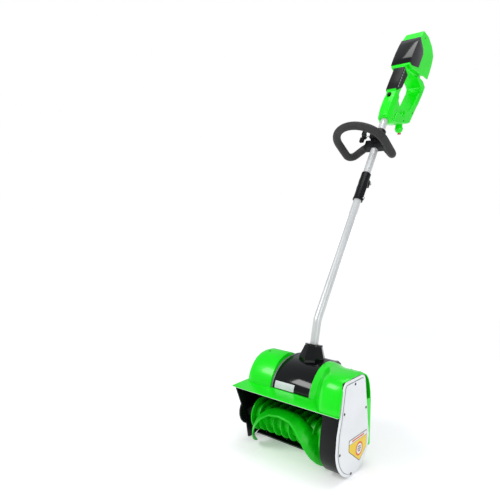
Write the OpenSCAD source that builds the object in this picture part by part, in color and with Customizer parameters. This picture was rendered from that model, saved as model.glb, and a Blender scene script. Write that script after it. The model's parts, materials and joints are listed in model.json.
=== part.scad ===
// Cordless snow shovel: chevron auger in a black chute under a green hood, belt drive in the
// right side case, two-piece aluminium shaft, foam loop handle and battery-bay rear handle.
// Millimetres, +Z up, mouth toward -Y, operator toward +Y, belt case at +X.
// Origin on the ground under the middle of the scraper.

/* [Clearing head] */
// inside width of the chute, which is the clearing width
opening_w = 300; // [250:5:360]
// outside diameter of the auger flights
auger_d = 164; // [120:2:166]
// height of the auger axis over the ground
axis_z = 86; // [80:1:100]
// distance of the auger axis ahead of the scraper
axis_ahead = 37; // [30:1:50]
// inside radius of the chute's curved back
chute_r = 87; // [84:1:90]
// wall of the chute and hood mouldings
wall = 4; // [3:0.5:6]
// reach of the visor ahead of the auger axis
visor_reach = 76; // [50:1:100]
// width of the belt case between chute wall and side cover
case_w = 50; // [40:1:60]

/* [Drive] */
// diameter of the motor can
motor_d = 58; // [45:1:64]
// length of the motor can
motor_len = 60; // [50:1:62]
// pitch radius of the motor pulley
drive_r = 12; // [9:0.5:16]
// pitch radius of the auger pulley
driven_r = 48; // [30:1:60]
// diameter of the auger shaft
shaft_d = 16; // [12:1:20]

/* [Shaft] */
// outside diameter of both shaft tubes
tube_d = 25.4; // [22:0.2:30]
// wall of both shaft tubes
tube_wall = 1.5; // [1:0.1:2.5]
// lean of the lower tube section from vertical
lean_low = 13; // [0:1:25]
// lean of the main shaft from vertical
lean_main = 32.8; // [20:0.2:50]
// length from the bend to the rear handle
shaft_len = 797; // [600:1:900]
// sideways offset of the shaft toward the belt case
shaft_x = 8; // [0:1:20]

/* [Loop handle] */
// width of the loop at its centre line
loop_w = 168; // [140:1:200]
// height of the loop over the shaft axis
loop_h = 174; // [120:1:200]
// diameter of the foam on the loop
foam_d = 27; // [22:1:34]

/* [Rear handle] */
// lean of the grip from vertical
grip_lean = 40; // [30:1:50]
// half width of the battery end of the handle
bay_half = 37; // [34:1:44]
// half width of the guard and grip shell
guard_half = 19; // [16:1:24]
// half width of the finger guard
rim_half = 30; // [24:1:34]

/* [Hidden] */
$fn = 48;
eps = 0.01;
half_w = opening_w / 2;
case_x0 = half_w + wall + 1;
case_x1 = half_w + wall + case_w;
cover_t = 5;
auger_x0 = -108;
flight_x = 12;
motor_y = 43;
motor_z = 130;
belt_x = case_x0 + 24;
belt_w = 12;
motor_x0 = 86;
bend = [shaft_x, 89, 369];
sleeve_s0 = 436;
sleeve_s1 = 544;
tube_split = 496;
clamp_s = 692;
bolt_a = 22;
tube_r = tube_d / 2;
fit_gap = 0.05;
white = [0.92, 0.93, 0.94];
green = [0.02, 0.72, 0.05];
black = [0.07, 0.07, 0.08];
steel = [0.72, 0.74, 0.76];
grey = [0.35, 0.35, 0.36];
red = [0.85, 0.12, 0.08];
copper = [0.75, 0.42, 0.2];

// ---- frames --------------------------------------------------------------------------------
module at_axis() {
  translate([0, -axis_ahead, axis_z]) children();
}

module at_low(s) {
  translate(bend) rotate([-lean_low, 0, 0]) translate([0, 0, s]) children();
}

module at_main(s) {
  translate(bend) rotate([-lean_main, 0, 0]) translate([0, 0, s]) children();
}

module at_handle() {
  at_main(shaft_len) rotate([lean_main - grip_lean, 0, 0]) children();
}

// side profile (y, z) drawn from x0 to x1
module slab(x0, x1, pts) {
  translate([x0, 0, 0]) rotate([90, 0, 90]) linear_extrude(x1 - x0) polygon(pts);
}

module xcyl(x0, x1, r, y = 0, z = 0) {
  translate([x0, y, z]) rotate([0, 90, 0]) cylinder(h = x1 - x0, r = r);
}

module bolt_head(r, h) {
  difference() {
    cylinder(h = h, r = r);
    translate([0, 0, h - 1]) cylinder(h = 2, r = r * 0.5, $fn = 6);
  }
}

function arc(r, a0, a1, n, c = [0, 0]) =
  [for (i = [0 : n]) c + r * [cos(a0 + (a1 - a0) * i / n), sin(a0 + (a1 - a0) * i / n)]];
function rev(p) = [for (i = [len(p) - 1 : -1 : 0]) p[i]];

// points moved in along their corner normals, for the inside of a moulding
function unit(v) = v / norm(v);
function side_n(a, b) = [unit(b - a)[1], -unit(b - a)[0]];
function inset(p, d) =
  [for (i = [0 : len(p) - 1])
    let (a = p[(i + len(p) - 1) % len(p)], b = p[i], c = p[(i + 1) % len(p)],
         n1 = side_n(a, b), n2 = side_n(b, c), m = (n1 + n2) / (1 + n1 * n2))
    b + m * d];

// skin over a list of equal-length closed (y, z) sections, each at its own x
module loft(xs, secs) {
  m = len(xs);
  n = len(secs[0]);
  pts = [for (i = [0 : m - 1]) for (p = secs[i]) [xs[i], p[0], p[1]]];
  sides = [for (i = [0 : m - 2]) for (j = [0 : n - 1])
    let (k = (j + 1) % n) [i * n + j, i * n + k, (i + 1) * n + k, (i + 1) * n + j]];
  polyhedron(points = pts, faces = concat([[for (j = [n - 1 : -1 : 0]) j]], sides,
    [[for (j = [0 : n - 1]) (m - 1) * n + j]]), convexity = 6);
}

// ---- head profiles, about the auger axis ---------------------------------------------------
lobe_pts = [[-21, 95], [-19, 108], [-13, 124], [-4, 139], [8, 153], [24, 166], [44, 175],
            [66, 179], [86, 178], [102, 171], [112, 158], [118, 140], [121, 116], [121, 95]];
saddle_pts = [[-16, 95], [-13, 108], [-6, 122], [4, 135], [17, 147], [33, 157], [52, 164],
              [76, 168], [112, 169], [136, 166], [150, 156], [156, 140], [154, 100], [142, 50],
              [122, 14], [93, 14], [93, 95]];
case_pts = concat(arc(84, 180, 360, 20), [[78, 30], [71, 83]],
                  arc(20, 0, 90, 5, [40, 155]), arc(20, 90, 180, 5, [-33, 155]),
                  [[-66, 88], [-79, 45]]);
cover_pts = concat(arc(86, 180, 360, 24), [[80, 30], [73, 83]],
                   arc(21, 0, 90, 6, [41, 155]), arc(21, 90, 180, 6, [-33, 155]),
                   [[-68, 88], [-81, 45]]);
end_pts = concat([[-70, 91], [-24, -20], [-17, -58]], arc(86, 262, 356, 12),
                 [[91, 0], [91, 60], [64, 91]]);
chute_pts = concat([[-70, 91], [-6, 91]], arc(chute_r + wall, 86, -56, 20),
                   [[52, -83], [28, -83]], rev(arc(chute_r, 86, -64, 20)),
                   [[-6, 87], [-70, 87]]);

// ---- clearing head -------------------------------------------------------------------------
module auger_housing() {
  color(black) at_axis() difference() {
    union() {
      slab(-half_w - eps, half_w + eps, chute_pts);
      difference() {
        slab(-half_w - wall, -half_w, end_pts);
        xcyl(-half_w - wall - 1, -half_w + 1, 11.02);
      }
      difference() {
        slab(half_w, half_w + wall, end_pts);
        xcyl(half_w - 1, half_w + wall + 1, 11.02);
      }
      translate([-120, 56, 69]) cylinder(h = 104, r = 5);
      xcyl(-half_w, auger_x0 - 4, 18);
    }
    xcyl(-half_w - 1, 0, 10);
    translate([-120, 56, 157]) cylinder(h = 30, r = 1.85);
    for (x = [-120, -40, 40, 120])
      translate([x, axis_ahead + 2, -86]) cylinder(h = 14, r = 2.2);
  }
}

module scraper_blade() {
  color(grey) at_axis() difference() {
    slab(-half_w + 1, half_w - 1, [[26, -axis_z], [50, -axis_z], [50, -axis_z + 3],
      [26, -axis_z + 3]]);
    for (x = [-120, -40, 40, 120]) {
      translate([x, axis_ahead + 2, -axis_z - 1]) cylinder(h = 8, r = 2.2);
      translate([x, axis_ahead + 2, -axis_z - 1]) cylinder(h = 2.8, r = 3.7);
    }
  }
}

module scraper_screws() {
  color(steel) at_axis()
    for (x = [-120, -40, 40, 120])
      translate([x, axis_ahead + 2, -axis_z + 0.4]) {
        cylinder(h = 1.4, r = 3.6);
        cylinder(h = 7.4, r = 2.1);
      }
}

cowl_pts = [[-75.9, 95], [-71.5, 112], [-66, 132], [-60, 152], [-51, 168], [-36, 179], [-10, 183],
            [30, 183], [54, 180], [72, 171], [84, 158], [92, 140], [97, 116], [99, 95]];

function smooth(t) = let (u = min(1, max(0, t))) u * u * (3 - 2 * u);
// hood section at x, drawn in from its outside by g and swelling forward over the belt case
function hood_sec(x, g) =
  let (f = smooth((x - 88) / 66), k = hood_round(x),
       mid = [50, 95],
       p = [for (i = [0 : len(lobe_pts) - 1]) lobe_pts[i] * (1 - f) + cowl_pts[i] * f],
       q = inset(p, g))
  [for (i = [0 : len(q) - 1])
    i == 0 || i == len(q) - 1 ? [mid[0] + (q[i][0] - mid[0]) * k, 95 + g] :
      [mid[0] + (q[i][0] - mid[0]) * k, 95 + max(g, (q[i][1] - 95) * k)]];
// rounding of the hood at its left end, and a small one at its right end
function hood_round(x) = x < -123 ? sqrt(1 - pow((-123 - x) / 62, 2)) :
  x > 196 ? sqrt(1 - pow((x - 196) / 40, 2)) : 1;
left_xs = [-149, -147, -143, -137, -130, -123, -100, -59];
left_in = [-145, -143, -137, -130, -123, -100, -63];
right_xs = [79, 98, 108, 118, 128, 138, 148, 158, 168, 178, 196, case_x1 + 1];
right_in = [83, 98, 108, 118, 128, 138, 148, 158, 168, 178, 196, case_x1 + 2];

// x and outside z of each hood screw
hood_holes = [[-120, 177], [166, 179]];

module upper_hood() {
  color(green) at_axis() difference() {
    union() {
      difference() {
        loft(left_xs, [for (x = left_xs) hood_sec(x, 0)]);
        loft(left_in, [for (x = left_in) hood_sec(x, 3)]);
      }
      difference() {
        loft(right_xs, [for (x = right_xs) hood_sec(x, 0)]);
        loft(right_in, [for (x = right_in) hood_sec(x, 3)]);
      }
      slab(-159, case_x1 + 1, [[-visor_reach, 91], [-18, 91], [-18, 95.2], [-visor_reach + 1, 93.6]]);
      translate([-159, -18.1, 91]) cube([100, 138, 4.1]);
      translate([79, -18.1, 91]) cube([50, 138, 4.1]);
      translate([128, -18.1, 91]) cube([case_x1 - 127, 116, 4.1]);
      translate([-60, -19, 91]) cube([140, 5, 4]);
      slab(case_x0 + 2, case_x1 + 1, [[76, -36], [96, -36], [99, 95.1], [70, 95.1]]);
    }
    slab(case_x0 - 0.5, case_x1 + 3, inset(case_pts, 0.5));
    slab(case_x1 - 0.4, case_x1 + 3, inset(cover_pts, 0.4));
    for (p = hood_holes) {
      translate([p[0], 56, 160]) cylinder(h = 30, r = 1.85);
      translate([p[0], 56, p[1] - 1.5]) cylinder(h = 30, r = 2.95);
    }
    translate([-140, 0, 90]) cube([78, 112, 8]);
    translate([83, 0, 90]) cube([case_x0 - 88, 112, 8]);
  }
}

module hood_screws() {
  color(steel) at_axis()
    for (p = hood_holes)
      translate([p[0], 56, p[1] - 1.5]) {
        cylinder(h = 2, r = 2.9);
        translate([0, 0, -17]) cylinder(h = 18, r = 1.8);
      }
}

module motor_cover() {
  color(black) at_axis() difference() {
    slab(-58.9, 78.9, saddle_pts);
    slab(-58.9 + wall, 78.9 - wall, inset(saddle_pts, 3));
    translate([shaft_x - 31, 60, 20]) cube([62, 50, 82]);
    translate([shaft_x, 95.5, 150]) rotate([-lean_low, 0, 0]) cylinder(h = 60, r = 16, center = true);
  }
}

module front_badge() {
  color(steel) at_axis()
    slab(-46, 22, [[-15.6, 97.4], [-13.2, 108.1], [-8.9, 116.8], [-9.8, 117.2], [-14.2, 108.4],
      [-16.6, 97.6]]);
}

module neck_collar() {
  color(black) at_low(-120) difference() {
    union() {
      translate([0, 0, -14]) cylinder(h = 24, r = 40, $fn = 8);
      translate([0, 0, 10 - eps]) cylinder(h = 30, r1 = 39, r2 = 28, $fn = 8);
      translate([0, 0, 40 - 2 * eps]) cylinder(h = 6, r = 27);
    }
    translate([0, 0, -20]) cylinder(h = 80, r = tube_r + 0.4);
    translate([0, 0, 120]) rotate([lean_low, 0, 0]) translate([-shaft_x, -bend[1], -bend[2]])
      at_axis() slab(-60, 80, saddle_pts);
  }
}

module tube_socket() {
  color(grey) difference() {
    union() {
      at_low(-190) cylinder(h = 56, r = 19);
      at_axis() slab(shaft_x - 26, shaft_x + 26, [[62, 60], [96, 26], [108, 26], [112, 104], [66, 104]]);
    }
    at_low(-186) cylinder(h = 60, r = tube_r + fit_gap);
    at_axis() xcyl(-100, 100, chute_r + wall + 0.02);
    at_axis() translate([shaft_x - 5, 45, 100.5]) cube([10, 40, 10]);
  }
}

module left_end_cover() {
  color(grey) at_axis() difference() {
    union() {
      xcyl(-half_w - wall - 5, -half_w - wall, 46);
      xcyl(-half_w - wall - 8, -half_w - wall - 4, 38);
    }
    xcyl(-half_w - wall - 6, -half_w - wall + 1, 30);
  }
}

module auger_bearings() {
  color(steel) at_axis()
    for (x = [-half_w - wall - 4, half_w - 2])
      difference() {
        xcyl(x, x + 7, 11);
        xcyl(x - 1, x + 8, shaft_d / 2 + fit_gap);
      }
}

cover_screws = [[3, 168], [-55, 100], [-77, -5], [-15, -79], [67, 84]];

module belt_case() {
  color(black) at_axis() difference() {
    union() {
      difference() {
        slab(case_x0, case_x1, case_pts);
        slab(case_x0 + 3, case_x1 + 1, inset(case_pts, -4));
      }
      for (p = cover_screws)
        xcyl(case_x1 - 13, case_x1, 4.5, p[0] * 0.94, p[1] * 0.96);
    }
    for (p = cover_screws)
      xcyl(case_x1 - 11, case_x1 + 1, 2, p[0] * 0.94, p[1] * 0.96);
    translate([166, 56, 150]) cylinder(h = 30, r = 1.85);
    xcyl(case_x0 - 1, case_x0 + 4, 13);
    xcyl(case_x0 - 1, case_x0 + 4, 9, motor_y, motor_z);
  }
}

module belt_cover() {
  color(white) at_axis() difference() {
    union() {
      slab(case_x1, case_x1 + cover_t - 2, cover_pts);
      slab(case_x1 + cover_t - 2 - eps, case_x1 + cover_t, inset(cover_pts, -9));
    }
    for (p = cover_screws)
      union() {
        xcyl(case_x1 - 1, case_x1 + cover_t + 1, 2, p[0] * 0.94, p[1] * 0.96);
        xcyl(case_x1 + cover_t - 2, case_x1 + cover_t + 1, 3.8, p[0] * 0.94, p[1] * 0.96);
      }
  }
}

module belt_cover_screws() {
  color(black) at_axis()
    for (p = cover_screws)
      translate([case_x1 + cover_t - 2, p[0] * 0.94, p[1] * 0.96]) rotate([0, 90, 0]) {
        bolt_head(3.6, 2.4);
        translate([0, 0, -9]) cylinder(h = 9.5, r = 1.9);
      }
}

module side_decal() {
  color([0.95, 0.8, 0.1]) at_axis()
    slab(case_x1 + cover_t, case_x1 + cover_t + 0.4,
         [[-50, 10], [62, 10], [62, -8], [22, -62], [-42, -46]]);
}

// ---- drive ---------------------------------------------------------------------------------
module motor_can() {
  color(steel) at_axis() difference() {
    union() {
      xcyl(motor_x0, motor_x0 + motor_len, motor_d / 2, motor_y, motor_z);
      xcyl(motor_x0 + motor_len - eps, motor_x0 + motor_len + 6, 13, motor_y, motor_z);
    }
    xcyl(motor_x0 + 4, motor_x0 + motor_len - 3, motor_d / 2 - 3, motor_y, motor_z);
    xcyl(motor_x0 - 1, motor_x0 + motor_len + 8, 4.5, motor_y, motor_z);
  }
}

module motor_mount() {
  color(grey) at_axis() difference() {
    for (x = [motor_x0 + 4, motor_x0 + motor_len - 16]) {
      xcyl(x, x + 10, motor_d / 2 + 4, motor_y, motor_z);
      translate([x, motor_y - 16, 58]) cube([10, 32, 52]);
    }
    xcyl(motor_x0, motor_x0 + motor_len, motor_d / 2 + fit_gap, motor_y, motor_z);
    xcyl(0, 200, chute_r + wall + 0.02);
  }
}

module motor_rotor() {
  color(copper) at_axis() {
    xcyl(motor_x0 - 1, belt_x + 12, 4, motor_y, motor_z);
    xcyl(motor_x0 + 8, motor_x0 + motor_len - 8, motor_d / 2 - 8, motor_y, motor_z);
  }
}

module pulley(r, w, bore) {
  difference() {
    union() {
      cylinder(h = w, r = r);
      translate([0, 0, -2]) cylinder(h = 2 + eps, r = r + 2.5);
      translate([0, 0, w - eps]) cylinder(h = 2, r = r + 2.5);
    }
    translate([0, 0, -3]) cylinder(h = w + 6, r = bore);
  }
}

module drive_pulley() {
  color(grey) at_axis() translate([belt_x - 7, motor_y, motor_z]) rotate([0, 90, 0])
    pulley(drive_r, 14, 4);
}

module driven_pulley() {
  color(grey) at_axis() translate([belt_x - 7, 0, 0]) rotate([0, 90, 0]) difference() {
    pulley(driven_r, 14, shaft_d / 2);
    for (a = [0 : 60 : 300])
      rotate([0, 0, a]) translate([28, 0, -4]) cylinder(h = 22, r = 8);
  }
}

// a run of belt round both pulleys, r added to each pulley radius
function belt_pts(g) =
  let (d = norm([motor_y, motor_z]), a = atan2(motor_z, motor_y),
       b = acos((driven_r - drive_r) / d), k = 1 / cos(4))
  concat(arc((driven_r + g) * k, a + b, a + 360 - b, 44),
         arc((drive_r + g) * k, a - b, a + b, 22, [motor_y, motor_z]));

module drive_belt() {
  color(black) at_axis() difference() {
    slab(belt_x - belt_w / 2, belt_x + belt_w / 2, belt_pts(3.4));
    slab(belt_x - belt_w / 2 - 1, belt_x + belt_w / 2 + 1, belt_pts(0.4));
  }
}

module auger_shaft() {
  color(steel) at_axis() {
    xcyl(-half_w - wall - 3.5, belt_x + 12, shaft_d / 2);
    xcyl(belt_x + 9.5, belt_x + 14, shaft_d / 2 + 4);
  }
}

module auger_core() {
  color(green) at_axis() difference() {
    union() {
      xcyl(auger_x0, half_w - 12.6, core_r0);
      xcyl(half_w - 13, half_w - 6, 13);
    }
    xcyl(-half_w, half_w, shaft_d / 2);
  }
}

blade_ang = 106;
core_r0 = 32;
function blade_r(t) = core_r0 - 1 + (auger_d / 2 - core_r0 + 1) * t;
function blade_a(t) = 38 * t * t;
function blade_2d(off) = concat(
  [for (i = [0 : 4]) let (t = i / 4) blade_r(t) * [cos(blade_a(t) + off), sin(blade_a(t) + off)]],
  [for (i = [4 : -1 : 0]) let (t = i / 4, r = blade_r(t), w = 180 * 5 / (PI * r))
    r * [cos(blade_a(t) + off + w), sin(blade_a(t) + off + w)]]);

// share of the half length at each step along a flight; the twist grows toward the ends
flight_u = [0, 0.3, 0.5, 0.65, 0.78, 0.9, 1];
function flight_a(u) = blade_ang * pow(u, 2.8);

module half_flight(sgn) {
  len_x = sgn > 0 ? half_w - 13 - flight_x : flight_x - auger_x0 - 1;
  translate([flight_x, 0, 0]) mirror([sgn > 0 ? 0 : 1, 0, 0])
    for (i = [0 : len(flight_u) - 2])
      let (u0 = flight_u[i], u1 = flight_u[i + 1])
        translate([len_x * u0, 0, 0]) rotate([flight_a(u0), 0, 0]) rotate([90, 0, 90])
          linear_extrude(len_x * (u1 - u0) + eps, twist = flight_a(u0) - flight_a(u1), slices = 2,
                         segments = 10) {
            polygon(blade_2d(0));
            polygon(blade_2d(180));
          }
}

rib_gap = 27;

module auger_flights() {
  color(green) at_axis() difference() {
    union() {
      rotate([110, 0, 0]) {
        half_flight(1);
        half_flight(-1);
      }
      xcyl(half_w - 13.5, half_w - 9, 60);
      xcyl(auger_x0 + 0.1, auger_x0 + 3, 50);
      for (i = [-3 : 4])
        xcyl(i * rib_gap - 1, i * rib_gap + 1, 46);
    }
    xcyl(-half_w, half_w - 12.58, core_r0 + 0.2);
    xcyl(-half_w, half_w, 13.2);
  }
}

module motor_board() {
  color([0.05, 0.35, 0.15]) at_axis() {
    translate([-46, 8, 98]) cube([90, 48, 2]);
    translate([-38, 14, 100 - eps]) cube([30, 14, 12]);
    translate([0, 12, 100 - eps]) cube([22, 18, 9]);
    translate([shaft_x - 7, 42, 100 - eps]) cube([14, 8, 10]);
    for (x = [-36, -22])
      translate([x, 44, 100 - eps]) cylinder(h = 18, r = 6);
  }
}

// ---- shaft ---------------------------------------------------------------------------------
bend_r = 70;
bend_ang = lean_main - lean_low;
bend_cut = bend_r * tan(bend_ang / 2);

module lower_tube() {
  color(steel) {
    at_low(-170) tube_run(170 - bend_cut);
    at_main(bend_cut) tube_run(tube_split - bend_cut);
    at_low(-bend_cut) translate([0, bend_r, 0]) rotate([0, 0, 180]) rotate([90, 0, 90])
      rotate_extrude(angle = bend_ang) translate([bend_r, 0]) difference() {
        circle(r = tube_r);
        circle(r = tube_r - tube_wall);
      }
  }
}

module tube_run(h) {
  difference() {
    cylinder(h = h, r = tube_r);
    translate([0, 0, -1]) cylinder(h = h + 2, r = tube_r - tube_wall);
  }
}

module upper_tube() {
  color(steel) at_main(tube_split + 0.3) tube_run(shaft_len - tube_split + 61);
}

module coupler_sleeve() {
  color(black) at_main(sleeve_s0) difference() {
    union() {
      cylinder(h = sleeve_s1 - sleeve_s0, r = 16);
      cylinder(h = 6, r = 17);
      translate([-11, 8, 66]) cube([22, 16, 26]);
      translate([10, -5, 3]) cube([9, 10, 12]);
    }
    translate([0, 0, -1]) cylinder(h = 200, r = tube_r + fit_gap);
    translate([8, -2.5, 22]) cube([12, 5, 40]);
    translate([-1.2, 10, 55]) cube([2.4, 20, 60]);
    translate([0, 19, 79]) rotate([0, 90, 0]) cylinder(h = 50, r = 3.05, center = true);
    translate([20, 0, 9]) rotate([0, -90, 0]) cylinder(h = 4, r = 2.05);
  }
}

module coupler_bolt() {
  color(steel) at_main(sleeve_s0 + 79) translate([0, 19, 0]) {
    rotate([0, 90, 0]) translate([0, 0, -21]) cylinder(h = 35, r = 3);
    rotate([0, 90, 0]) translate([0, 0, 11.2]) cylinder(h = 5, r = 5.5, $fn = 6);
  }
}

module coupler_screw() {
  color(steel) at_main(sleeve_s0 + 9) rotate([0, 90, 0]) {
    translate([0, 0, 16.2]) cylinder(h = 5, r = 2);
    translate([0, 0, 19.2]) bolt_head(3.8, 2.6);
  }
}

module wing_knob(l, w) {
  difference() {
    union() {
      cylinder(h = 12, r = 9);
      translate([0, 0, 3]) cylinder(h = 6, r = 11);
      for (a = [0, 180])
        rotate([0, 0, a]) translate([6, -w / 2, 4]) cube([l - 6, w, 14]);
    }
    translate([0, 0, -1]) cylinder(h = 10, r = 3.1);
  }
}

module coupler_knob() {
  color(black) at_main(sleeve_s0 + 79) translate([-13, 19, 0]) rotate([0, -90, 0])
    wing_knob(22, 6);
}

module connector_socket() {
  color(black) at_main(tube_split - 40) difference() {
    cylinder(h = 36, r = 11.1);
    translate([0, 0, 10]) cylinder(h = 30, r = 6.4);
    translate([0, 0, -1]) cylinder(h = 20, r = 3.4);
  }
}

module connector_plug() {
  color(grey) at_main(tube_split - 24) difference() {
    union() {
      cylinder(h = 40, r = 6);
      translate([0, 0, 24.4]) cylinder(h = 16, r = 11.1);
    }
    translate([0, 0, 20]) cylinder(h = 30, r = 3.4);
  }
}

module cable_lower() {
  color(black) {
    at_axis() translate([shaft_x, 84, 105.9]) rotate([90, 0, 0]) cylinder(h = 33.5, r = 2.2);
    at_low(-182) cylinder(h = 182 - bend_cut, r = 3);
    at_low(-bend_cut) translate([0, bend_r, 0]) rotate([0, 0, 180]) rotate([90, 0, 90])
      rotate_extrude(angle = bend_ang) translate([bend_r, 0]) circle(r = 3);
    at_main(bend_cut) cylinder(h = tube_split - 32 - bend_cut, r = 3);
  }
}

module cable_upper() {
  color(black) at_main(tube_split - 2) cylinder(h = shaft_len - tube_split + 86, r = 3);
}

// ---- loop handle ---------------------------------------------------------------------------
core_r = 8;
loop_half = loop_w / 2;
loop_s = -84;
elbow_r = 28;
arm_top = [23, -2, -20];
arm_len = norm([loop_half - arm_top[0], loop_s - arm_top[2]]);
arm_tilt = atan2(loop_half - arm_top[0], arm_top[2] - loop_s);

// two arms, two uprights and a half ring, all of radius r; the arms start at s0 along their length
module loop_run(r, s0) {
  $fn = 20;
  for (m = [0, 1])
    mirror([m, 0, 0]) {
      translate(arm_top) rotate([0, 180 - arm_tilt, 0]) {
        translate([0, 0, s0]) cylinder(h = arm_len - elbow_r - s0, r = r);
        translate([0, -elbow_r, arm_len - elbow_r]) rotate([90, 0, 90])
          rotate_extrude(angle = 90) translate([elbow_r, 0]) circle(r = r);
      }
      translate([loop_half, arm_top[1] - elbow_r, loop_s]) rotate([90, 0, 0])
        cylinder(h = loop_h - loop_half + arm_top[1] - elbow_r, r = r);
    }
  translate([0, loop_half - loop_h, loop_s]) rotate([0, 0, 180])
    rotate_extrude(angle = 180) translate([loop_half, 0]) circle(r = r);
}

module aux_core() {
  color(steel) at_main(clamp_s) loop_run(core_r, 0);
}

module aux_grip() {
  color(grey) at_main(clamp_s) difference() {
    loop_run(foam_d / 2, 28);
    loop_run(core_r + 0.02, 0);
  }
}

module aux_clamp_half() {
  difference() {
    union() {
      translate([0, 0, -26]) cylinder(h = 64, r = 19);
      translate([0, -34, -14]) cube([16, 34, 30]);
      translate([0, -15, -44]) cube([36, 26, 32]);
    }
    translate([0, 0, -60]) cylinder(h = 120, r = tube_r + fit_gap);
    translate([-30, -60, -61]) cube([30.6, 120, 122]);
    translate([0, -bolt_a - 2, 0]) rotate([0, 90, 0]) cylinder(h = 80, r = 3.05, center = true);
    translate(arm_top) rotate([0, 180 - arm_tilt, 0]) translate([0, 0, -0.1])
      cylinder(h = 80, r = core_r + 0.02);
  }
}

module aux_clamp_right() {
  color(black) at_main(clamp_s) aux_clamp_half();
}

module aux_clamp_left() {
  color(black) at_main(clamp_s) mirror([1, 0, 0]) aux_clamp_half();
}

module aux_bolt() {
  color(steel) at_main(clamp_s) translate([0, -bolt_a - 2, 0]) rotate([0, 90, 0]) {
    translate([0, 0, -44]) cylinder(h = 62, r = 3);
    translate([0, 0, 16.1]) cylinder(h = 5, r = 6, $fn = 6);
  }
}

module aux_knob() {
  color(black) at_main(clamp_s) translate([-36, -bolt_a - 2, 0]) rotate([0, -90, 0])
    wing_knob(24, 9);
}

// ---- rear handle, y toward the finger side, z along the grip -------------------------------
body_pts = [[-27, 20], [-30, 42], [-31, 70], [-29, 92], [-36, 110], [-39, 150], [-41, 190],
            [-44, 222], [-49, 262], [-53, 300], [-53, 345], [-49.5, 385], [-44, 425], [0, 446],
            [44, 446], [76, 432], [88, 400], [96, 352], [100, 310], [118, 296], [120, 250],
            [116, 168], [112, 84], [96, 62], [44, 6], [24, -14], [12, -20], [-14, -20], [-24, 4]];
rim_pts = [[40, 4], [96, 62], [112, 84], [116, 168], [120, 250], [118, 294], [88, 296],
  [40, 270], [60, 60], [16, 40], [16, -10]];
window_pts = [[-4, 112], [8, 92], [30, 84], [62, 92], [84, 116], [92, 168], [96, 240],
              [90, 262], [40, 262], [10, 250], [-2, 226], [-5, 190], [-5, 150]];
bay_pts = [[-45.6, 226], [-51.6, 268], [-53.6, 305], [-53.6, 345], [-50.5, 385], [-44, 427], [0, 448], [45, 448],
           [78, 433], [90, 400], [98, 352], [101, 318], [60, 292], [20, 262], [-20, 232]];
cavity_pts = [[-22, 30], [-25, 90], [-26, 118], [-30, 222], [-45, 262], [-49, 300], [-49, 345],
              [-45.5, 384], [-40, 420], [-2, 438], [10, 438], [10, 286], [60, 280], [98, 290],
              [112, 290], [114, 250], [110, 168], [106, 88], [92, 68], [40, 12], [20, -8],
              [-10, -12], [-18, 6]];
slot_z = 296;

module shell_solid() {
  difference() {
    union() {
      slab(0, guard_half, body_pts);
      slab(0, bay_half, bay_pts);
      slab(0, rim_half, rim_pts);
      rotate([7.2, 0, 0]) translate([0, 0, -14]) intersection() {
        cylinder(h = 112, r = 25);
        translate([0, -40, 0]) cube([60, 80, 120]);
      }
    }
    slab(-1, 60, window_pts);
  }
}

module shell_half() {
  xcyl(0.02, bay_half - 2.9, 5, -20, 415);
  difference() {
    shell_solid();
    difference() {
      slab(-1, guard_half - 3, cavity_pts);
      slab(-2, 60, inset(window_pts, 3));
      translate([-2, -8, 118]) cube([40, 3, 20]);
    }
    slab(-1, bay_half - 3, [[-47, 268], [-50, 300], [-50, 345], [-46.5, 384], [-42, 418],
      [-2, 437], [10, 437], [10, 274]]);
    // battery slot, open to the finger side and to the end
    translate([-1, 18, slot_z]) cube([bay_half - 4 + 1, 120, 200]);
    rotate([7.2, 0, 0]) translate([0, 0, -30]) cylinder(h = 92, r = tube_r + fit_gap);
    // pocket behind the battery latch
    translate([-1, 9, slot_z + 95.5]) cube([10.5, 10, 15]);
    // trigger window, in the finger side of the grip
    translate([-1, -24, 92]) cube([7, 30, 46]);
    // lock-off button window, in the side of the boss
    translate([-1, -52, 70]) cube([7, 30, 18]);
  }
}

// y, z and outside x of each screw head
shell_screws = [[104, 130, 30], [108, 225, 30], [70, 50, 30], [-20, 415, 37], [-40, 250, 37]];

module handle_shell_right() {
  color(green) at_handle() difference() {
    shell_half();
    for (p = shell_screws)
      translate([p[2] + 1, p[0], p[1]]) rotate([0, -90, 0]) {
        cylinder(h = 4, r = 3.05);
        cylinder(h = 12, r = 1.65);
      }
  }
}

module handle_shell_left() {
  color(green) at_handle() mirror([1, 0, 0]) shell_half();
}

module grip_overmold() {
  color(black) at_handle() difference() {
    slab(-guard_half - 2, guard_half + 2, [[-33, 104], [-38, 110], [-41.5, 150], [-43.5, 190],
      [-46, 216], [-6, 216], [-7, 190], [-7, 150], [-8, 142], [-26, 112], [-30, 104]]);
    slab(-guard_half, guard_half, [[-36, 90], [-36, 110], [-39, 150], [-41, 190], [-44, 222],
      [0, 222], [-5, 190], [-5, 90]]);
  }
}

module handle_panel() {
  color(black) at_handle() difference() {
    slab(-bay_half - 1.2, bay_half + 1.2, [[-49, 234], [-53.4, 268], [-55.2, 305], [-55.2, 345],
      [-52.6, 378], [-4, 366], [8, 352], [14, 280], [-30, 238]]);
    slab(-bay_half, bay_half, [[-30, 200], [-45.6, 226], [-51.6, 268], [-53.6, 305],
      [-53.6, 345], [-50.5, 385], [40, 385], [40, 200]]);
  }
}

module handle_screws() {
  color(steel) at_handle()
    for (p = shell_screws)
      translate([p[2] - 0.6, p[0], p[1]]) rotate([0, -90, 0]) {
        cylinder(h = 2.3, r = 3);
        cylinder(h = 9, r = 1.6);
      }
}

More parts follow.
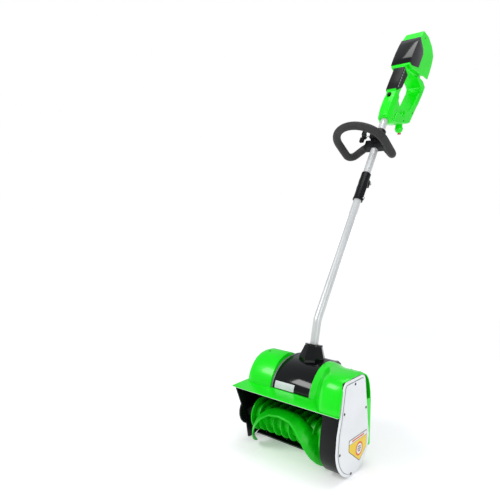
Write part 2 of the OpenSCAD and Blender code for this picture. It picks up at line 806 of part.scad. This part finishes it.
module trigger() {
  color(black) at_handle() difference() {
    union() {
      slab(-5.5, 5.5, [[-12, 96], [4, 94], [9, 104], [5, 122], [-2, 134], [-14, 136]]);
      xcyl(-5.5, 5.5, 4.5, -14, 131);
    }
    xcyl(-6, 6, 2.05, -14, 131);
  }
}

module trigger_pin() {
  color(steel) at_handle() xcyl(-guard_half + 3.2, guard_half - 3.2, 2, -14, 131);
}

module switch_module() {
  color(grey) at_handle() {
    translate([-9, -24.5, 92]) cube([18, 7.5, 30]);
    translate([-7, -25, 122 - eps]) cube([14, 6, 40]);
  }
}

module lock_off_button() {
  color(black) at_handle() union() {
    translate([-5.5, -39, 73]) cube([11, 13, 12]);
    translate([-4, -27, 75]) cube([8, 5, 8]);
  }
}

module handle_harness() {
  color(red) at_handle() {
    translate([3, -22, 162.2]) cylinder(h = 112.8, r = 1.6, $fn = 16);
    translate([-3, -22, 162.2]) cylinder(h = 112.8, r = 1.6, $fn = 16);
  }
}

module battery_rails() {
  color(grey) at_handle() {
    for (s = [-1, 1])
      translate([s > 0 ? bay_half - 10 : -bay_half + 4.02, 60, slot_z + 10]) cube([5.98, 6, 120]);
    difference() {
      translate([-bay_half + 4.02, 18, slot_z + 2]) cube([2 * bay_half - 8.04, 3, 132]);
      translate([-9.5, 17, slot_z + 95.5]) cube([19, 5, 15]);
    }
  }
}

module terminal_block() {
  color(black) at_handle() difference() {
    translate([-22, 21, slot_z + 0.5]) cube([44, 24, 22]);
    for (x = [-15, -5, 5, 15])
      translate([x - 1.5, 26, slot_z + 6]) cube([3, 14, 18]);
  }
}

module battery_contacts() {
  color(copper) at_handle()
    for (x = [-15, -5, 5, 15])
      translate([x - 0.4, 27, slot_z + 6]) cube([0.8, 12, 20]);
}

module battery_latch() {
  color(black) at_handle() {
    translate([-9, 14, slot_z + 96]) cube([18, 12, 14]);
  }
}

module ejector() {
  color(grey) at_handle() translate([-16, 50, slot_z + 9]) cube([32, 30, 4]);
}

module lower_boss() {
  color(green) at_handle() difference() {
    translate([0, 105, 48]) rotate([grip_lean, 0, 0]) {
      sphere(r = 15);
      cylinder(h = 30, r = 13);
    }
    slab(-40, 40, rim_pts);
    slab(-40, 40, body_pts);
    translate([0, 105, 48]) rotate([grip_lean, 0, 0]) translate([0, 4, -30])
      cylinder(h = 18, r = 6.05);
  }
}

module boss_plug() {
  color(red) at_handle() translate([0, 105, 48]) rotate([grip_lean, 0, 0]) translate([0, 4, -20])
    cylinder(h = 8, r = 6);
}

upper_hood();
motor_cover();
front_badge();
neck_collar();
tube_socket();
auger_housing();
scraper_blade();
scraper_screws();
belt_case();
belt_cover();
belt_cover_screws();
side_decal();
left_end_cover();
hood_screws();
auger_bearings();
motor_can();
motor_mount();
motor_rotor();
drive_pulley();
driven_pulley();
drive_belt();
auger_shaft();
auger_core();
auger_flights();
motor_board();
lower_tube();
upper_tube();
coupler_sleeve();
coupler_bolt();
coupler_screw();
coupler_knob();
connector_socket();
connector_plug();
cable_lower();
cable_upper();
aux_core();
aux_grip();
aux_clamp_left();
aux_clamp_right();
aux_bolt();
aux_knob();
handle_shell_left();
handle_shell_right();
grip_overmold();
handle_panel();
handle_screws();
trigger();
trigger_pin();
switch_module();
lock_off_button();
handle_harness();
battery_rails();
terminal_block();
battery_contacts();
battery_latch();
ejector();
lower_boss();
boss_plug();
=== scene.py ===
"""Cordless snow shovel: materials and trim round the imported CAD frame."""
import bpy
import bmesh
import json
import math
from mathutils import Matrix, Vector


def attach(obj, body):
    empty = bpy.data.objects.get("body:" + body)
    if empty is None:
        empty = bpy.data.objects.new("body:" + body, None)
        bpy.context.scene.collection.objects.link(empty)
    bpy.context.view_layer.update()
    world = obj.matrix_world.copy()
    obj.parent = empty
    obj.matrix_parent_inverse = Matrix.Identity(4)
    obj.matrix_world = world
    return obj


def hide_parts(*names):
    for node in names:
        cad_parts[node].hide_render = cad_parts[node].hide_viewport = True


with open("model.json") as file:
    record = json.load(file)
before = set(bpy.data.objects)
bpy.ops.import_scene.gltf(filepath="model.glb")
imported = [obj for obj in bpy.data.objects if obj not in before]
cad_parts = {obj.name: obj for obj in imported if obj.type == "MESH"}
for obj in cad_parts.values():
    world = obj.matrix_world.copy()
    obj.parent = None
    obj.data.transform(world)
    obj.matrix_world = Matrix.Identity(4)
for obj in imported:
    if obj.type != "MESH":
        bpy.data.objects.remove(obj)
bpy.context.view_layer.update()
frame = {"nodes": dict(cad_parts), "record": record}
NODES = frame["nodes"]

# ---- frames of the object, the same as in the CAD, in millimetres ---------------------------
AXIS = Vector((0, -37, 86))          # middle of the auger
BEND = Vector((8, 89, 369))          # bend of the lower tube
MAIN_LEAN, GRIP_LEAN = 32.8, 40      # degrees from vertical
SHAFT_LEN, CLAMP_S = 797, 692        # handle and loop clamp, along the shaft from the bend


def leaning(deg, p, s=0.0):
    """Point p of a frame on the shaft that leans back by deg, s along it from the bend."""
    a = math.radians(deg)
    x, y, z = p[0], p[1], p[2] + s
    return Vector((x, y * math.cos(a) + z * math.sin(a), -y * math.sin(a) + z * math.cos(a)))


def at_axis(p):
    return AXIS + Vector(p)


def at_main(p, s=0.0):
    return BEND + leaning(MAIN_LEAN, p, s)


def at_handle(p):
    return at_main((0, 0, 0), SHAFT_LEN) + leaning(GRIP_LEAN, p)


# ---- materials ------------------------------------------------------------------------------
def material(name, color, rough, dark=None, scale=60.0, bump=0.05, metal=0.0, coat=0.0,
             grain=900.0, spec=0.5, rough_var=0.08):
    """Plastic, metal or rubber: slow colour change, fine grain in the roughness and bump."""
    mat = bpy.data.materials.new(name)
    mat.use_nodes = True
    nt = mat.node_tree
    bsdf = nt.nodes["Principled BSDF"]
    bsdf.inputs["Metallic"].default_value = metal
    bsdf.inputs["Specular IOR Level"].default_value = spec
    bsdf.inputs["Coat Weight"].default_value = coat
    bsdf.inputs["Coat Roughness"].default_value = 0.08
    coord = nt.nodes.new("ShaderNodeTexCoord")
    slow = nt.nodes.new("ShaderNodeTexNoise")
    slow.inputs["Scale"].default_value = scale
    slow.inputs["Detail"].default_value = 3.0
    nt.links.new(coord.outputs["Object"], slow.inputs["Vector"])
    mix = nt.nodes.new("ShaderNodeMix")
    mix.data_type = "RGBA"
    dark = dark or tuple(c * 0.86 for c in color)
    mix.inputs[6].default_value = (*dark, 1)
    mix.inputs[7].default_value = (*color, 1)
    ramp = nt.nodes.new("ShaderNodeMapRange")
    ramp.inputs["From Min"].default_value = 0.3
    ramp.inputs["From Max"].default_value = 0.6
    nt.links.new(slow.outputs["Fac"], ramp.inputs["Value"])
    nt.links.new(ramp.outputs["Result"], mix.inputs[0])
    nt.links.new(mix.outputs[2], bsdf.inputs["Base Color"])
    fine = nt.nodes.new("ShaderNodeTexNoise")
    fine.inputs["Scale"].default_value = grain
    fine.inputs["Detail"].default_value = 2.0
    nt.links.new(coord.outputs["Object"], fine.inputs["Vector"])
    rr = nt.nodes.new("ShaderNodeMapRange")
    rr.inputs["To Min"].default_value = max(0.02, rough - rough_var)
    rr.inputs["To Max"].default_value = rough + rough_var
    nt.links.new(fine.outputs["Fac"], rr.inputs["Value"])
    nt.links.new(rr.outputs["Result"], bsdf.inputs["Roughness"])
    bmp = nt.nodes.new("ShaderNodeBump")
    bmp.inputs["Strength"].default_value = bump
    bmp.inputs["Distance"].default_value = 0.0006
    nt.links.new(fine.outputs["Fac"], bmp.inputs["Height"])
    nt.links.new(bmp.outputs["Normal"], bsdf.inputs["Normal"])
    return mat


M = {
    "green": material("green_moulding", (0.0, 0.78, 0.002), 0.3, (0.0, 0.7, 0.002), 14, 0.04,
                      coat=0.25, spec=0.3),
    "auger": material("green_auger", (0.0, 0.6, 0.003), 0.4, (0.0, 0.48, 0.003), 18, 0.08,
                      coat=0.1, spec=0.3),
    "gloss_black": material("gloss_black", (0.0015, 0.0018, 0.002), 0.1, None, 12, 0.02, coat=0.15,
                            spec=0.28),
    "black": material("black_moulding", (0.0025, 0.0028, 0.0035), 0.34, None, 20, 0.12, spec=0.22),
    "rubber": material("grip_rubber", (0.003, 0.003, 0.0034), 0.4, None, 30, 0.35, spec=0.22),
    "foam": material("grip_foam", (0.024, 0.0235, 0.023), 0.6, (0.016, 0.016, 0.0155), 40, 0.6,
                     grain=1500, spec=0.35),
    "tube": material("tube_finish", (0.66, 0.67, 0.67), 0.33, (0.6, 0.61, 0.61), 8, 0.05,
                     metal=0.35),
    "white": material("white_moulding", (0.8, 0.82, 0.84), 0.3, (0.76, 0.78, 0.8), 10, 0.05,
                      coat=0.2),
    # silver_trim is also used for the painted highlight strip along the visor's edge
    "silver": material("silver_trim", (0.75, 0.77, 0.79), 0.3, None, 30, 0.05, metal=0.3),
    "grey": material("grey_nylon", (0.13, 0.13, 0.135), 0.5, None, 40, 0.2),
    # flat grey for the bands round the collar, and also the painted highlights on the grip nubs
    # and on the side cover's raised edge
    "arch": material("arch_band", (0.2, 0.21, 0.22), 0.35, None, 40, 0.08),
    "steel": material("steel_parts", (0.55, 0.56, 0.58), 0.3, None, 60, 0.1, metal=1.0),
    "screw": material("dark_screws", (0.03, 0.03, 0.035), 0.35, None, 60, 0.1, metal=0.6),
    "copper": material("copper_parts", (0.7, 0.36, 0.16), 0.3, None, 60, 0.1, metal=1.0),
    "belt": material("belt_rubber", (0.015, 0.015, 0.015), 0.6, None, 80, 0.4),
    "board": material("board", (0.015, 0.14, 0.04), 0.45, None, 80, 0.1),
    "red": material("red_moulding", (0.55, 0.02, 0.01), 0.32, None, 30, 0.05, coat=0.3),
    "yellow": material("decal_yellow", (0.9, 0.62, 0.01), 0.35, None, 20, 0.02),
    "paper": material("decal_white", (0.85, 0.85, 0.84), 0.35, None, 20, 0.02),
    "ink": material("decal_dark", (0.06, 0.045, 0.02), 0.4, None, 20, 0.02),
    "orange": material("decal_red", (0.75, 0.12, 0.02), 0.35, None, 20, 0.02),
}
SLOT_LOOK = {
    "green_moulding": "green", "gloss_black": "gloss_black", "silver_trim": "silver",
    "grey_nylon": "grey", "black_moulding": "black", "steel_parts": "steel",
    "white_moulding": "white", "decal_film": "yellow", "copper_parts": "copper",
    "belt_rubber": "belt", "board": "board", "tube_finish": "tube", "cable_skin": "belt",
    "foam": "foam", "grip_rubber": "rubber", "red_moulding": "red",
}
LOOK = {"auger_flights": "auger", "auger_core": "auger", "belt_cover_screws": "screw",
        "hood_screws": "screw", "handle_screws": "screw"}
BEVEL = {"upper_hood": 1.2, "motor_cover": 2.0, "neck_collar": 2.0, "belt_cover": 1.2,
         "auger_housing": 0.8, "handle_shell_left": 3.0, "handle_shell_right": 3.0,
         "grip_overmold": 0.8, "handle_panel": 0.5, "coupler_sleeve": 0.8, "front_badge": 0.4,
         "aux_clamp_left": 1.5, "aux_clamp_right": 1.5, "aux_knob": 1.2, "coupler_knob": 1.2,
         "auger_flights": 0.4, "belt_case": 1.0}
SMOOTH_ANGLE = 34                    # sharper edges than this stay crisp, in degrees
slot_of = {s["node"]: s["material_slot"] for s in frame["record"]["subparts"]}


def soften(obj, width, angle=35.0, segments=3):
    """Rounded edges and smooth shading, all in modifiers."""
    weld = obj.modifiers.new("weld", "WELD")
    weld.merge_threshold = 1e-5
    if width:
        bev = obj.modifiers.new("bevel", "BEVEL")
        bev.width = width / 1000
        bev.segments = segments
        bev.limit_method = "ANGLE"
        bev.angle_limit = math.radians(angle)
    for p in obj.data.polygons:
        p.use_smooth = True
    split = obj.modifiers.new("edges", "EDGE_SPLIT")
    split.split_angle = math.radians(SMOOTH_ANGLE)


for name, obj in NODES.items():
    obj.data.materials.clear()
    obj.data.materials.append(M[LOOK.get(name, SLOT_LOOK[slot_of[name]])])
    soften(obj, BEVEL.get(name, 0))


# ---- mesh helpers ---------------------------------------------------------------------------
def piece(name, verts, faces, look, body, bevel=0.0, smooth=True):
    """A new piece from points in millimetres, riding on a body."""
    me = bpy.data.meshes.new(name)
    me.from_pydata([Vector(v) / 1000 for v in verts], [], faces)
    bm = bmesh.new()
    bm.from_mesh(me)
    bmesh.ops.recalc_face_normals(bm, faces=bm.faces)
    bm.to_mesh(me)
    bm.free()
    me.materials.append(M[look])
    obj = bpy.data.objects.new(name, me)
    bpy.context.scene.collection.objects.link(obj)
    if smooth:
        soften(obj, bevel)
    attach(obj, body)
    return obj


def tube(name, path, radius, look, body, ring=20, place=None, closed=False):
    """A round bar along a path of points in millimetres."""
    pts = [Vector(p) for p in path]
    n = len(pts)
    verts, faces = [], []
    up = None
    for i, p in enumerate(pts):
        a = pts[(i - 1) % n] if closed or i > 0 else p
        b = pts[(i + 1) % n] if closed or i < n - 1 else p
        t = (b - a).normalized()
        if up is None:
            up = t.orthogonal().normalized()
        up = (up - t * up.dot(t)).normalized()
        side = t.cross(up)
        r = radius(i / (n - 1)) if callable(radius) else radius
        for k in range(ring):
            c = 2 * math.pi * k / ring
            q = p + up * math.cos(c) * r + side * math.sin(c) * r
            verts.append(place(q) if place else q)
    for i in range(n if closed else n - 1):
        for k in range(ring):
            k2 = (k + 1) % ring
            j = (i + 1) % n
            faces.append((i * ring + k, i * ring + k2, j * ring + k2, j * ring + k))
    if not closed:
        faces.append(tuple(range(ring - 1, -1, -1)))
        faces.append(tuple((n - 1) * ring + k for k in range(ring)))
    return piece(name, verts, faces, look, body)


def plate(name, outline, x0, x1, look, body, place=at_axis, bevel=0.15):
    """A flat plate with an outline in (y, z), from x0 to x1."""
    n = len(outline)
    verts = [place((x0, y, z)) for y, z in outline] + [place((x1, y, z)) for y, z in outline]
    faces = [tuple(range(n - 1, -1, -1)), tuple(range(n, 2 * n))]
    faces += [(i, (i + 1) % n, n + (i + 1) % n, n + i) for i in range(n)]
    return piece(name, verts, faces, look, body, bevel)


def round_pts(pts, r=3.0, steps=4):
    """An outline with its corners rounded."""
    out = []
    n = len(pts)
    for i in range(n):
        a, b, c = Vector(pts[i - 1]), Vector(pts[i]), Vector(pts[(i + 1) % n])
        d1, d2 = (a - b), (c - b)
        k = min(r, d1.length * 0.45, d2.length * 0.45)
        p, q = b + d1.normalized() * k, b + d2.normalized() * k
        for s in range(steps + 1):
            t = s / steps
            out.append(tuple(p * (1 - t) ** 2 + b * 2 * t * (1 - t) + q * t ** 2))
    return out


# ---- foam of the loop handle ----------------------------------------------------------------
LOOP_HALF, LOOP_H, LOOP_S, ELBOW = 84.0, 174.0, -84.0, 28.0
ARM = Vector((23.0, -2.0, -20.0))


def loop_path():
    """Centre line of the foam in the clamp's frame, from one arm round to the other."""
    corner = Vector((LOOP_HALF, -2.0, LOOP_S))
    d = (corner - ARM).normalized()
    half = []
    for t in (14, 30, 46):
        half.append(ARM + d * t)
    end = corner - d * ELBOW
    up = Vector((0, -1, 0))
    for i in range(9):
        a = math.pi / 2 * i / 8
        half.append(end + d * ELBOW * math.sin(a) + up * ELBOW * (1 - math.cos(a)))
    top = -(LOOP_H - LOOP_HALF)
    y0 = half[-1][1]
    for i in range(1, 6):
        half.append(Vector((LOOP_HALF, y0 + (top - y0) * i / 6, LOOP_S)))
    arch = [Vector((LOOP_HALF * math.cos(a), top - LOOP_HALF * math.sin(a), LOOP_S))
            for a in [math.pi * i / 32 for i in range(33)]]
    other = [Vector((-p[0], p[1], p[2])) for p in reversed(half)]
    return half + arch + other


def foam_r(t):
    e = min(t, 1 - t)
    return 13.4 if e > 0.008 else 11.8


foam = tube("loop_foam", loop_path(), foam_r, "foam", "loop", 32,
            place=lambda q: at_main(q, CLAMP_S))
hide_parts("aux_grip")

# ---- decal on the side cover ----------------------------------------------------------------
DECAL_X = 209.0
PENT = [(-27, 17), (70, 17), (67, -30), (29, -57), (-28, -13)]


def shrink(pts, d):
    """A convex outline moved in by about d."""
    c = Vector((sum(p[0] for p in pts) / len(pts), sum(p[1] for p in pts) / len(pts)))
    return [tuple(c + (Vector(p) - c) * (1 - d / (Vector(p) - c).length)) for p in pts]


back = plate("decal_back", round_pts(PENT, 3), DECAL_X, DECAL_X + 0.4, "ink", "head")
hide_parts("side_decal")
DX = DECAL_X + 0.4
body_pts = [(-25.5, 4), (68, 4), (65.3, -29), (28.9, -54.7), (-26.2, -12.2)]
head_pts = [(-25, 15.3), (68.3, 15.3), (67.9, 5), (-25.3, 5)]
plate("decal_body", round_pts(body_pts, 2), DX, DX + 0.2, "yellow", "head")
plate("decal_head", round_pts(head_pts, 2), DX, DX + 0.2, "paper", "head")
plate("decal_bar", round_pts([(-12, 12.5), (54, 12.5), (54, 8), (-12, 8)], 1.5), DX + 0.2,
      DX + 0.35, "orange", "head")
ring = [(27 + 19 * math.cos(t), -22 + 19 * math.sin(t)) for t in
        [2 * math.pi * i / 40 for i in range(40)]]
plate("decal_disc", ring, DX + 0.2, DX + 0.35, "orange", "head")
inner = [(27 + (y - 27) * 0.74, -22 + (z + 22) * 0.74) for y, z in ring]
plate("decal_face", inner, DX + 0.35, DX + 0.5, "paper", "head")
for i, (w, dz) in enumerate([(15, 6), (20, 0), (13, -6)]):
    plate(f"decal_line_{i}", round_pts([(27 - w / 2, -20 + dz), (27 + w / 2, -20 + dz),
                                        (27 + w / 2, -23 + dz), (27 - w / 2, -23 + dz)], 1.4),
          DX + 0.5, DX + 0.65, "ink", "head")

# ---- trim and painted highlights on the head ------------------------------------------------
SADDLE = [(-16, 95), (-13, 108), (-6, 122), (4, 135), (17, 147), (33, 157), (52, 164), (76, 168),
          (112, 169), (136, 166)]


def strip(name, line, x0, x1, lift, look, body):
    """A thin band laid on an open outline (y, z), from x0 to x1, raised by lift."""
    n = len(line)
    outer = []
    for i in range(n):
        a, b = Vector(line[max(i - 1, 0)]), Vector(line[min(i + 1, n - 1)])
        t = (b - a).normalized()
        outer.append((line[i][0] - t[1] * lift, line[i][1] + t[0] * lift))
    inner = [(y + (y - oy), z + (z - oz)) for (y, z), (oy, oz) in zip(line, outer)]
    plate(name, outer + inner[::-1], x0, x1, look, body, bevel=0.3)


strip("cover_band_left", SADDLE, -58.7, -53.5, 0.9, "arch", "head")
strip("cover_band_right", SADDLE, 73.5, 78.7, 0.9, "arch", "head")
# A thin silver strip along the visor's edge: a painted highlight standing in for the bright line
# of light there.
plate("visor_lip", [(-76.2, 90.2), (-70, 90.2), (-70, 91), (-76.2, 91)], -158, 203, "silver",
      "head", bevel=0.1)


def arc(r, a0, a1, n, c=(0, 0)):
    return [(c[0] + r * math.cos(math.radians(a0 + (a1 - a0) * i / n)),
             c[1] + r * math.sin(math.radians(a0 + (a1 - a0) * i / n))) for i in range(n + 1)]


def inset(pts, d):
    out = []
    for i, p in enumerate(pts):
        a, b, c = Vector(pts[i - 1]), Vector(p), Vector(pts[(i + 1) % len(pts)])
        e1, e2 = (b - a).normalized(), (c - b).normalized()
        n1, n2 = Vector((e1[1], -e1[0])), Vector((e2[1], -e2[0]))
        out.append(tuple(b - (n1 + n2) / (1 + n1.dot(n2)) * d))
    return out


COVER = (arc(86, 180, 360, 24) + [(80, 30), (73, 83)] + arc(21, 0, 90, 6, (41, 155))
         + arc(21, 90, 180, 6, (-33, 155)) + [(-68, 88), (-81, 45)])


def ring_plate(name, outer, inner, x0, x1, look, body):
    n = len(outer)
    verts = [at_axis((x, *q)) for x, line in
             ((x0, outer), (x0, inner), (x1, outer), (x1, inner)) for q in line]
    faces = []
    for i in range(n):
        j = (i + 1) % n
        for a, b in ((0, 1), (1, 3), (3, 2), (2, 0)):
            faces.append((a * n + i, a * n + j, b * n + j, b * n + i))
    piece(name, verts, faces, look, body)


# Painted light: a thin flat grey ring on the side cover along the raised panel's rounded edge,
# standing in for the shading that edge shows.
ring_plate("cover_step", inset(COVER, 7.4), inset(COVER, 8.95), 207.0, 207.4, "arch", "head")

# grip nubs, along the right front edge of the grip; the bumps are real, but their pale grey is a
# painted highlight standing in for the glints on them
NUBS, NUB_Z, NUB_PITCH, NUB_LEN = 7, 118, 14, 8
SIX_FACES = [(0, 1, 2, 3), (4, 5, 6, 7), (0, 1, 5, 4), (1, 2, 6, 5), (2, 3, 7, 6), (3, 0, 4, 7)]
for i in range(NUBS):
    z0 = NUB_Z + NUB_PITCH * i
    y0 = -37.5 - 0.055 * (z0 - NUB_Z)
    nub = [(x, y, z) for z in (z0, z0 + NUB_LEN) for x, y in
           ((20.6, y0 + 2), (22.4, y0 + 3), (22.4, y0 + 7), (20.6, y0 + 8))]
    piece(f"grip_nub_{i}", [at_handle(q) for q in nub], SIX_FACES, "arch", "upper",
          bevel=0.5)

# vent fins low on the rear edge of the battery housing
FINS, FIN_Z, FIN_PITCH, FIN_LEN = 9, 186, 9, 4
for i in range(FINS):
    z0 = FIN_Z + FIN_PITCH * i
    for side in (-1, 1):
        xs = sorted((side * 29.5, side * 31.2))
        fin = [(x, y, z) for z in (z0, z0 + FIN_LEN) for x, y in
               ((xs[0], 98), (xs[1], 98), (xs[1], 116), (xs[0], 116))]
        piece(f"vent_fin_{'l' if side < 0 else 'r'}_{i}", [at_handle(q) for q in fin], SIX_FACES,
              "green", "upper", bevel=0.5)


# ---- rear handle: the CAD shells with moulded, rounded edges --------------------------------
SPLIT_X = 0.008


def moulded(source, voxel, rounds):
    """One closed skin round the given nodes, with its edges softened."""
    bm = bmesh.new()
    for name in source:
        bm.from_mesh(NODES[name].data)
    me = bpy.data.meshes.new("skin")
    bm.to_mesh(me)
    bm.free()
    obj = bpy.data.objects.new("skin", me)
    bpy.context.scene.collection.objects.link(obj)
    rem = obj.modifiers.new("remesh", "REMESH")
    rem.mode = "VOXEL"
    rem.voxel_size = voxel / 1000
    sm = obj.modifiers.new("smooth", "SMOOTH")
    sm.factor = 0.5
    sm.iterations = rounds
    deps = bpy.context.evaluated_depsgraph_get()
    out = bpy.data.meshes.new_from_object(obj.evaluated_get(deps))
    bpy.data.objects.remove(obj)
    return out


def half_of(skin, name, sign, look, node):
    """The part of the skin on one side of the seam plane."""
    bm = bmesh.new()
    bm.from_mesh(skin)
    res = bmesh.ops.bisect_plane(bm, geom=bm.verts[:] + bm.edges[:] + bm.faces[:], dist=1e-7,
                                 plane_co=(SPLIT_X + sign * 0.00012, 0, 0), plane_no=(sign, 0, 0),
                                 clear_inner=True)
    cut = [e for e in res["geom_cut"] if isinstance(e, bmesh.types.BMEdge)]
    bmesh.ops.triangle_fill(bm, edges=cut, use_beauty=True)
    me = bpy.data.meshes.new(name)
    bm.to_mesh(me)
    bm.free()
    for p in me.polygons:
        p.use_smooth = True
    me.materials.clear()
    me.materials.append(M[look])
    obj = bpy.data.objects.new(name, me)
    bpy.context.scene.collection.objects.link(obj)
    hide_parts(node)
    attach(obj, "upper")
    split = obj.modifiers.new("edges", "EDGE_SPLIT")
    split.split_angle = math.radians(50)
    return obj


skin = moulded(["handle_shell_left", "handle_shell_right"], 1.6, 9)
half_of(skin, "shell_left", -1, "green", "handle_shell_left")
half_of(skin, "shell_right", 1, "green", "handle_shell_right")

# ---- stage, light and camera ----------------------------------------------------------------
def stage():
    me = bpy.data.meshes.new("floor")
    me.from_pydata([(-90, -90, 0), (90, -90, 0), (90, 90, 0), (-90, 90, 0)], [], [(0, 1, 2, 3)])
    floor = bpy.data.objects.new("floor", me)
    bpy.context.scene.collection.objects.link(floor)
    mat = material("floor", (0.86, 0.86, 0.86), 0.6, (0.85, 0.85, 0.85), 2, 0.0)
    bsdf = mat.node_tree.nodes["Principled BSDF"]
    bsdf.inputs["Emission Color"].default_value = (1, 1, 1, 1)
    nt = mat.node_tree
    coord = nt.nodes.new("ShaderNodeTexCoord")
    dist = nt.nodes.new("ShaderNodeVectorMath")
    dist.operation = "LENGTH"
    glow = nt.nodes.new("ShaderNodeMapRange")
    glow.inputs["From Min"].default_value = 1.5
    glow.inputs["From Max"].default_value = 6.0
    glow.inputs["To Min"].default_value = 0.32
    glow.inputs["To Max"].default_value = 1.0
    nt.links.new(coord.outputs["Object"], dist.inputs[0])
    nt.links.new(dist.outputs["Value"], glow.inputs["Value"])
    nt.links.new(glow.outputs["Result"], bsdf.inputs["Emission Strength"])
    me.materials.append(mat)


stage()
world = bpy.data.worlds.new("studio")
bpy.context.scene.world = world
world.use_nodes = True
wn, wl = world.node_tree.nodes, world.node_tree.links
sky = wn["Background"]
sky.inputs[0].default_value = (0.93, 0.96, 1.0, 1)
sky.inputs[1].default_value = 0.5
white_bg = wn.new("ShaderNodeBackground")
white_bg.inputs[0].default_value = (1, 1, 1, 1)
white_bg.inputs[1].default_value = 1.0
path = wn.new("ShaderNodeLightPath")
wmix = wn.new("ShaderNodeMixShader")
wl.new(path.outputs["Is Camera Ray"], wmix.inputs[0])
wl.new(sky.outputs[0], wmix.inputs[1])
wl.new(white_bg.outputs[0], wmix.inputs[2])
wl.new(wmix.outputs[0], wn["World Output"].inputs[0])


def area(name, loc, target, size, power):
    light = bpy.data.lights.new(name, "AREA")
    light.shape = "RECTANGLE"
    light.size, light.size_y = size
    light.energy = power
    obj = bpy.data.objects.new(name, light)
    obj.location = loc
    obj.rotation_euler = (Vector(target) - Vector(loc)).to_track_quat("-Z", "Y").to_euler()
    bpy.context.scene.collection.objects.link(obj)


area("key", (-1.2, -2.2, 2.4), (0, 0.2, 0.5), (1.3, 1.0), 44)
area("fill", (2.4, -1.0, 1.4), (0, 0.2, 0.5), (0.9, 1.6), 15)
area("top", (0.2, 0.6, 2.8), (0, 0.2, 0.3), (1.4, 1.4), 22)

cam_data = bpy.data.cameras.new("camera")
cam_data.lens = 35.78
cam_data.sensor_width = 36.0
cam = bpy.data.objects.new("camera", cam_data)
cam.location = (0.83376, -1.17636, 0.6994)
cam.rotation_euler = (math.radians(85.53), 0, math.radians(40.96))
bpy.context.scene.collection.objects.link(cam)
bpy.context.scene.camera = cam
bpy.context.scene.view_settings.view_transform = "Standard"
